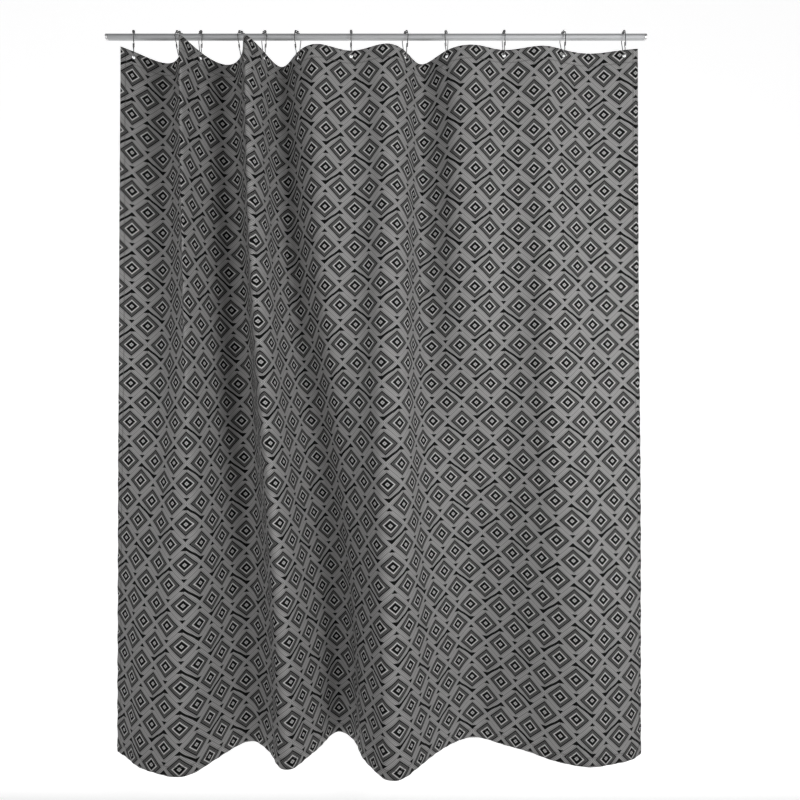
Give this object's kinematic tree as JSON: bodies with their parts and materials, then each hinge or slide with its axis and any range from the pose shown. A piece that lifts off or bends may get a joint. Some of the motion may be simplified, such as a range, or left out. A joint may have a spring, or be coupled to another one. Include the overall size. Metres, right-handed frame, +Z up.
{
  "type": "shower curtain",
  "caption": "Patterned fabric shower curtain hanging in soft folds from roller hooks on a straight round metal rod with capped ends.",
  "frame": {"origin": "centre of the rod's left end face, where it meets the wall", "axes": "+X along the rod to the other wall, +Z up, -Y towards the room"},
  "size_m": [1.4029, 0.2023, 1.8834],
  "materials": {
    "rod_metal": "satin grey metal",
    "cap_metal": "satin, a little lighter than the rod",
    "hook_wire": "bright chromed wire",
    "bead_metal": "polished chrome",
    "printed_cloth": "matt woven polyester printed with small nested diamonds in greys and black",
    "tape_cloth": "matt non-woven stiffener"
  },
  "bodies": {
    "rod": {"rod_tube": "rod_metal", "end_cap_left": "cap_metal", "end_cap_right": "cap_metal"},
    "curtain": {"curtain_panel": "printed_cloth", "header_tape": "tape_cloth"},
    "hook_12": {"hook_12_wire": "hook_wire"},
    "hook_01": {"hook_01_wire": "hook_wire"},
    "hook_02": {"hook_02_wire": "hook_wire"},
    "hook_03": {"hook_03_wire": "hook_wire"},
    "hook_04": {"hook_04_wire": "hook_wire"},
    "hook_05": {"hook_05_wire": "hook_wire"},
    "hook_06": {"hook_06_wire": "hook_wire"},
    "hook_07": {"hook_07_wire": "hook_wire"},
    "hook_08": {"hook_08_wire": "hook_wire"},
    "hook_09": {"hook_09_wire": "hook_wire"},
    "hook_10": {"hook_10_wire": "hook_wire"},
    "hook_11": {"hook_11_wire": "hook_wire"},
    "hook_01_bead_1": {"hook_01_bead_1": "bead_metal"},
    "hook_01_bead_2": {"hook_01_bead_2": "bead_metal"},
    "hook_01_bead_3": {"hook_01_bead_3": "bead_metal"},
    "hook_02_bead_1": {"hook_02_bead_1": "bead_metal"},
    "hook_02_bead_2": {"hook_02_bead_2": "bead_metal"},
    "hook_02_bead_3": {"hook_02_bead_3": "bead_metal"},
    "hook_03_bead_1": {"hook_03_bead_1": "bead_metal"},
    "hook_03_bead_2": {"hook_03_bead_2": "bead_metal"},
    "hook_03_bead_3": {"hook_03_bead_3": "bead_metal"},
    "hook_04_bead_1": {"hook_04_bead_1": "bead_metal"},
    "hook_04_bead_2": {"hook_04_bead_2": "bead_metal"},
    "hook_04_bead_3": {"hook_04_bead_3": "bead_metal"},
    "hook_05_bead_1": {"hook_05_bead_1": "bead_metal"},
    "hook_05_bead_2": {"hook_05_bead_2": "bead_metal"},
    "hook_05_bead_3": {"hook_05_bead_3": "bead_metal"},
    "hook_06_bead_1": {"hook_06_bead_1": "bead_metal"},
    "hook_06_bead_2": {"hook_06_bead_2": "bead_metal"},
    "hook_06_bead_3": {"hook_06_bead_3": "bead_metal"},
    "hook_07_bead_1": {"hook_07_bead_1": "bead_metal"},
    "hook_07_bead_2": {"hook_07_bead_2": "bead_metal"},
    "hook_07_bead_3": {"hook_07_bead_3": "bead_metal"},
    "hook_08_bead_1": {"hook_08_bead_1": "bead_metal"},
    "hook_08_bead_2": {"hook_08_bead_2": "bead_metal"},
    "hook_08_bead_3": {"hook_08_bead_3": "bead_metal"},
    "hook_09_bead_1": {"hook_09_bead_1": "bead_metal"},
    "hook_09_bead_2": {"hook_09_bead_2": "bead_metal"},
    "hook_09_bead_3": {"hook_09_bead_3": "bead_metal"},
    "hook_10_bead_1": {"hook_10_bead_1": "bead_metal"},
    "hook_10_bead_2": {"hook_10_bead_2": "bead_metal"},
    "hook_10_bead_3": {"hook_10_bead_3": "bead_metal"},
    "hook_11_bead_1": {"hook_11_bead_1": "bead_metal"},
    "hook_11_bead_2": {"hook_11_bead_2": "bead_metal"},
    "hook_11_bead_3": {"hook_11_bead_3": "bead_metal"},
    "hook_12_bead_1": {"hook_12_bead_1": "bead_metal"},
    "hook_12_bead_2": {"hook_12_bead_2": "bead_metal"},
    "hook_12_bead_3": {"hook_12_bead_3": "bead_metal"}
  },
  "joints": [
    {"name": "curtain_swing", "type": "hinge", "parent": "rod", "child": "curtain", "pos_m": [0, 0, 0], "axis": [1, 0, 0], "range_deg": [-15, 15]},
    {"name": "hook_12_slide", "type": "slide", "parent": "curtain", "child": "hook_12", "axis": [1, 0, 0], "range_m": [-0.7797, 0], "deforming": ["curtain_panel", "header_tape"]},
    {"name": "hook_01_slide", "type": "slide", "parent": "curtain", "child": "hook_01", "axis": [1, 0, 0], "range_m": [-0.04169, 0]},
    {"name": "hook_02_slide", "type": "slide", "parent": "curtain", "child": "hook_02", "axis": [1, 0, 0], "range_m": [-0.11133, 0]},
    {"name": "hook_03_slide", "type": "slide", "parent": "curtain", "child": "hook_03", "axis": [1, 0, 0], "range_m": [-0.1424, 0]},
    {"name": "hook_04_slide", "type": "slide", "parent": "curtain", "child": "hook_04", "axis": [1, 0, 0], "range_m": [-0.20523, 0]},
    {"name": "hook_05_slide", "type": "slide", "parent": "curtain", "child": "hook_05", "axis": [1, 0, 0], "range_m": [-0.23854, 0]},
    {"name": "hook_06_slide", "type": "slide", "parent": "curtain", "child": "hook_06", "axis": [1, 0, 0], "range_m": [-0.28924, 0]},
    {"name": "hook_07_slide", "type": "slide", "parent": "curtain", "child": "hook_07", "axis": [1, 0, 0], "range_m": [-0.37024, 0]},
    {"name": "hook_08_slide", "type": "slide", "parent": "curtain", "child": "hook_08", "axis": [1, 0, 0], "range_m": [-0.4517, 0]},
    {"name": "hook_09_slide", "type": "slide", "parent": "curtain", "child": "hook_09", "axis": [1, 0, 0], "range_m": [-0.51407, 0]},
    {"name": "hook_10_slide", "type": "slide", "parent": "curtain", "child": "hook_10", "axis": [1, 0, 0], "range_m": [-0.60033, 0]},
    {"name": "hook_11_slide", "type": "slide", "parent": "curtain", "child": "hook_11", "axis": [1, 0, 0], "range_m": [-0.68967, 0]},
    {"name": "hook_01_bead_1_roll", "type": "hinge", "parent": "hook_01", "child": "hook_01_bead_1", "pos_m": [0.0746, -0.00725, 0.01021], "axis": [-0.3137, 0.7946, 0.5198], "continuous": true},
    {"name": "hook_01_bead_2_roll", "type": "hinge", "parent": "hook_01", "child": "hook_01_bead_2", "pos_m": [0.07174, 0, 0.0124], "axis": [-0.3673, 0.9301, 0], "continuous": true},
    {"name": "hook_01_bead_3_roll", "type": "hinge", "parent": "hook_01", "child": "hook_01_bead_3", "pos_m": [0.06887, 0.00725, 0.01021], "axis": [-0.3137, 0.7946, -0.5198], "continuous": true},
    {"name": "hook_02_bead_1_roll", "type": "hinge", "parent": "hook_02", "child": "hook_02_bead_1", "pos_m": [0.18723, -0.00683, 0.00998], "axis": [0.4754, 0.6912, 0.5443], "continuous": true},
    {"name": "hook_02_bead_2_roll", "type": "hinge", "parent": "hook_02", "child": "hook_02_bead_2", "pos_m": [0.19157, -0.00043, 0.01239], "axis": [0.5565, 0.8303, 0.029], "continuous": true},
    {"name": "hook_02_bead_3_roll", "type": "hinge", "parent": "hook_02", "child": "hook_02_bead_3", "pos_m": [0.1959, 0.00612, 0.01043], "axis": [0.4754, 0.7275, -0.4948], "continuous": true},
    {"name": "hook_03_bead_1_roll", "type": "hinge", "parent": "hook_03", "child": "hook_03_bead_1", "pos_m": [0.24922, -0.0071, 0.00986], "axis": [-0.4589, 0.6923, 0.5568], "continuous": true},
    {"name": "hook_03_bead_2_roll", "type": "hinge", "parent": "hook_03", "child": "hook_03_bead_2", "pos_m": [0.24503, -0.00065, 0.01238], "axis": [-0.5372, 0.8423, 0.0441], "continuous": true},
    {"name": "hook_03_bead_3_roll", "type": "hinge", "parent": "hook_03", "child": "hook_03_bead_3", "pos_m": [0.24084, 0.00603, 0.01054], "axis": [-0.4589, 0.7467, -0.4814], "continuous": true},
    {"name": "hook_04_bead_1_roll", "type": "hinge", "parent": "hook_04", "child": "hook_04_bead_1", "pos_m": [0.34879, -0.00699, 0.00986], "axis": [0.4777, 0.68, 0.5562], "continuous": true},
    {"name": "hook_04_bead_2_roll", "type": "hinge", "parent": "hook_04", "child": "hook_04_bead_2", "pos_m": [0.35315, -0.00065, 0.01238], "axis": [0.5592, 0.8279, 0.0434], "continuous": true},
    {"name": "hook_04_bead_3_roll", "type": "hinge", "parent": "hook_04", "child": "hook_04_bead_3", "pos_m": [0.35751, 0.00592, 0.01054], "axis": [0.4777, 0.7345, -0.4821], "continuous": true},
    {"name": "hook_05_bead_1_roll", "type": "hinge", "parent": "hook_05", "child": "hook_05_bead_1", "pos_m": [0.41483, -0.00682, 0.00998], "axis": [-0.4777, 0.6896, 0.5442], "continuous": true},
    {"name": "hook_05_bead_2_roll", "type": "hinge", "parent": "hook_05", "child": "hook_05_bead_2", "pos_m": [0.41047, -0.00043, 0.01239], "axis": [-0.5592, 0.8285, 0.0289], "continuous": true},
    {"name": "hook_05_bead_3_roll", "type": "hinge", "parent": "hook_05", "child": "hook_05_bead_3", "pos_m": [0.40611, 0.0061, 0.01043], "axis": [-0.4777, 0.7259, -0.4948], "continuous": true},
    {"name": "hook_06_bead_1_roll", "type": "hinge", "parent": "hook_06", "child": "hook_06_bead_1", "pos_m": [0.49422, -0.00749, 0.00983], "axis": [0.3829, 0.7354, 0.5591], "continuous": true},
    {"name": "hook_06_bead_2_roll", "type": "hinge", "parent": "hook_06", "child": "hook_06_bead_2", "pos_m": [0.49772, -0.00065, 0.01238], "axis": [0.4483, 0.8927, 0.0468], "continuous": true},
    {"name": "hook_06_bead_3_roll", "type": "hinge", "parent": "hook_06", "child": "hook_06_bead_3", "pos_m": [0.50121, 0.00643, 0.01056], "axis": [0.3829, 0.7898, -0.4792], "continuous": true},
    {"name": "hook_07_bead_1_roll", "type": "hinge", "parent": "hook_07", "child": "hook_07_bead_1", "pos_m": [0.63717, -0.00707, 0.01073], "axis": [-0.0078, 0.8884, 0.459], "continuous": true},
    {"name": "hook_07_bead_2_roll", "type": "hinge", "parent": "hook_07", "child": "hook_07_bead_2", "pos_m": [0.63709, 0.00086, 0.01237], "axis": [-0.0091, 0.9975, -0.0698], "continuous": true},
    {"name": "hook_07_bead_3_roll", "type": "hinge", "parent": "hook_07", "child": "hook_07_bead_3", "pos_m": [0.63702, 0.00849, 0.00965], "axis": [-0.0078, 0.8159, -0.5782], "continuous": true},
    {"name": "hook_08_bead_1_roll", "type": "hinge", "parent": "hook_08", "child": "hook_08_bead_1", "pos_m": [0.78082, -0.00658, 0.01045], "axis": [-0.3884, 0.7785, 0.493], "continuous": true},
    {"name": "hook_08_bead_2_roll", "type": "hinge", "parent": "hook_08", "child": "hook_08_bead_2", "pos_m": [0.77727, 0.00043, 0.01239], "axis": [-0.4547, 0.8901, -0.0311], "continuous": true},
    {"name": "hook_08_bead_3_roll", "type": "hinge", "parent": "hook_08", "child": "hook_08_bead_3", "pos_m": [0.77373, 0.0073, 0.00996], "axis": [-0.3884, 0.7423, -0.5461], "continuous": true},
    {"name": "hook_09_bead_1_roll", "type": "hinge", "parent": "hook_09", "child": "hook_09_bead_1", "pos_m": [0.88169, -0.00632, 0.01081], "axis": [0.3184, 0.835, 0.4488], "continuous": true},
    {"name": "hook_09_bead_2_roll", "type": "hinge", "parent": "hook_09", "child": "hook_09_bead_2", "pos_m": [0.8846, 0.00108, 0.01235], "axis": [0.3727, 0.9244, -0.0809], "continuous": true},
    {"name": "hook_09_bead_3_roll", "type": "hinge", "parent": "hook_09", "child": "hook_09_bead_3", "pos_m": [0.8875, 0.0081, 0.00954], "axis": [0.3184, 0.7444, -0.587], "continuous": true},
    {"name": "hook_10_bead_1_roll", "type": "hinge", "parent": "hook_10", "child": "hook_10_bead_1", "pos_m": [1.03321, -0.00649, 0.01109], "axis": [-0.0212, 0.911, 0.4119], "continuous": true},
    {"name": "hook_10_bead_2_roll", "type": "hinge", "parent": "hook_10", "child": "hook_10_bead_2", "pos_m": [1.03302, 0.00151, 0.01231], "axis": [-0.0248, 0.9922, -0.1218], "continuous": true},
    {"name": "hook_10_bead_3_roll", "type": "hinge", "parent": "hook_10", "child": "hook_10_bead_3", "pos_m": [1.03283, 0.00898, 0.00919], "axis": [-0.0212, 0.7843, -0.62], "continuous": true},
    {"name": "hook_11_bead_1_roll", "type": "hinge", "parent": "hook_11", "child": "hook_11_bead_1", "pos_m": [1.1882, -0.00617, 0.01118], "axis": [-0.1575, 0.9038, 0.3979], "continuous": true},
    {"name": "hook_11_bead_2_roll", "type": "hinge", "parent": "hook_11", "child": "hook_11_bead_2", "pos_m": [1.18676, 0.00173, 0.01228], "axis": [-0.1843, 0.9733, -0.1368], "continuous": true},
    {"name": "hook_11_bead_3_roll", "type": "hinge", "parent": "hook_11", "child": "hook_11_bead_3", "pos_m": [1.18532, 0.00901, 0.00905], "axis": [-0.1575, 0.7591, -0.6316], "continuous": true},
    {"name": "hook_12_bead_1_roll", "type": "hinge", "parent": "hook_12", "child": "hook_12_bead_1", "pos_m": [1.34366, -0.00646, 0.01108], "axis": [0.0763, 0.9079, 0.4123], "continuous": true},
    {"name": "hook_12_bead_2_roll", "type": "hinge", "parent": "hook_12", "child": "hook_12_bead_2", "pos_m": [1.34436, 0.00151, 0.01231], "axis": [0.0893, 0.9886, -0.1214], "continuous": true},
    {"name": "hook_12_bead_3_roll", "type": "hinge", "parent": "hook_12", "child": "hook_12_bead_3", "pos_m": [1.34505, 0.00895, 0.00919], "axis": [0.0763, 0.7812, -0.6197], "continuous": true}
  ],
  "couplings": [
    {"joint": "hook_01_slide", "follows": "hook_12_slide", "ratio": 0.053361},
    {"joint": "hook_02_slide", "follows": "hook_12_slide", "ratio": 0.1425},
    {"joint": "hook_03_slide", "follows": "hook_12_slide", "ratio": 0.18226},
    {"joint": "hook_04_slide", "follows": "hook_12_slide", "ratio": 0.26269},
    {"joint": "hook_05_slide", "follows": "hook_12_slide", "ratio": 0.30533},
    {"joint": "hook_06_slide", "follows": "hook_12_slide", "ratio": 0.37023},
    {"joint": "hook_07_slide", "follows": "hook_12_slide", "ratio": 0.4739},
    {"joint": "hook_08_slide", "follows": "hook_12_slide", "ratio": 0.57817},
    {"joint": "hook_09_slide", "follows": "hook_12_slide", "ratio": 0.65801},
    {"joint": "hook_10_slide", "follows": "hook_12_slide", "ratio": 0.76841},
    {"joint": "hook_11_slide", "follows": "hook_12_slide", "ratio": 0.88277},
    {"joint": "hook_01_bead_1_roll", "follows": "hook_12_slide", "rad_per_m": 13.324},
    {"joint": "hook_01_bead_2_roll", "follows": "hook_12_slide", "rad_per_m": 13.061},
    {"joint": "hook_01_bead_3_roll", "follows": "hook_12_slide", "rad_per_m": 13.324},
    {"joint": "hook_02_bead_1_roll", "follows": "hook_12_slide", "rad_per_m": 32.916},
    {"joint": "hook_02_bead_2_roll", "follows": "hook_12_slide", "rad_per_m": 31.155},
    {"joint": "hook_02_bead_3_roll", "follows": "hook_12_slide", "rad_per_m": 32.916},
    {"joint": "hook_03_bead_1_roll", "follows": "hook_12_slide", "rad_per_m": 42.555},
    {"joint": "hook_03_bead_2_roll", "follows": "hook_12_slide", "rad_per_m": 40.454},
    {"joint": "hook_03_bead_3_roll", "follows": "hook_12_slide", "rad_per_m": 42.555},
    {"joint": "hook_04_bead_1_roll", "follows": "hook_12_slide", "rad_per_m": 60.588},
    {"joint": "hook_04_bead_2_roll", "follows": "hook_12_slide", "rad_per_m": 57.311},
    {"joint": "hook_04_bead_3_roll", "follows": "hook_12_slide", "rad_per_m": 60.588},
    {"joint": "hook_05_bead_1_roll", "follows": "hook_12_slide", "rad_per_m": 70.422},
    {"joint": "hook_05_bead_2_roll", "follows": "hook_12_slide", "rad_per_m": 66.613},
    {"joint": "hook_05_bead_3_roll", "follows": "hook_12_slide", "rad_per_m": 70.422},
    {"joint": "hook_06_bead_1_roll", "follows": "hook_12_slide", "rad_per_m": 90.002},
    {"joint": "hook_06_bead_2_roll", "follows": "hook_12_slide", "rad_per_m": 87.091},
    {"joint": "hook_06_bead_3_roll", "follows": "hook_12_slide", "rad_per_m": 90.002},
    {"joint": "hook_07_bead_1_roll", "follows": "hook_12_slide", "rad_per_m": 124.02},
    {"joint": "hook_07_bead_2_roll", "follows": "hook_12_slide", "rad_per_m": 124.71},
    {"joint": "hook_07_bead_3_roll", "follows": "hook_12_slide", "rad_per_m": 124.02},
    {"joint": "hook_08_bead_1_roll", "follows": "hook_12_slide", "rad_per_m": 140.21},
    {"joint": "hook_08_bead_2_roll", "follows": "hook_12_slide", "rad_per_m": 135.52},
    {"joint": "hook_08_bead_3_roll", "follows": "hook_12_slide", "rad_per_m": 140.21},
    {"joint": "hook_09_bead_1_roll", "follows": "hook_12_slide", "rad_per_m": 164.04},
    {"joint": "hook_09_bead_2_roll", "follows": "hook_12_slide", "rad_per_m": 160.68},
    {"joint": "hook_09_bead_3_roll", "follows": "hook_12_slide", "rad_per_m": 164.04},
    {"joint": "hook_10_bead_1_roll", "follows": "hook_12_slide", "rad_per_m": 201.05},
    {"joint": "hook_10_bead_2_roll", "follows": "hook_12_slide", "rad_per_m": 202.15},
    {"joint": "hook_10_bead_3_roll", "follows": "hook_12_slide", "rad_per_m": 201.05},
    {"joint": "hook_11_bead_1_roll", "follows": "hook_12_slide", "rad_per_m": 228.5},
    {"joint": "hook_11_bead_2_roll", "follows": "hook_12_slide", "rad_per_m": 228.33},
    {"joint": "hook_11_bead_3_roll", "follows": "hook_12_slide", "rad_per_m": 228.5},
    {"joint": "hook_12_bead_1_roll", "follows": "hook_12_slide", "rad_per_m": 261.04},
    {"joint": "hook_12_bead_2_roll", "follows": "hook_12_slide", "rad_per_m": 262.11},
    {"joint": "hook_12_bead_3_roll", "follows": "hook_12_slide", "rad_per_m": 261.04}
  ]
}
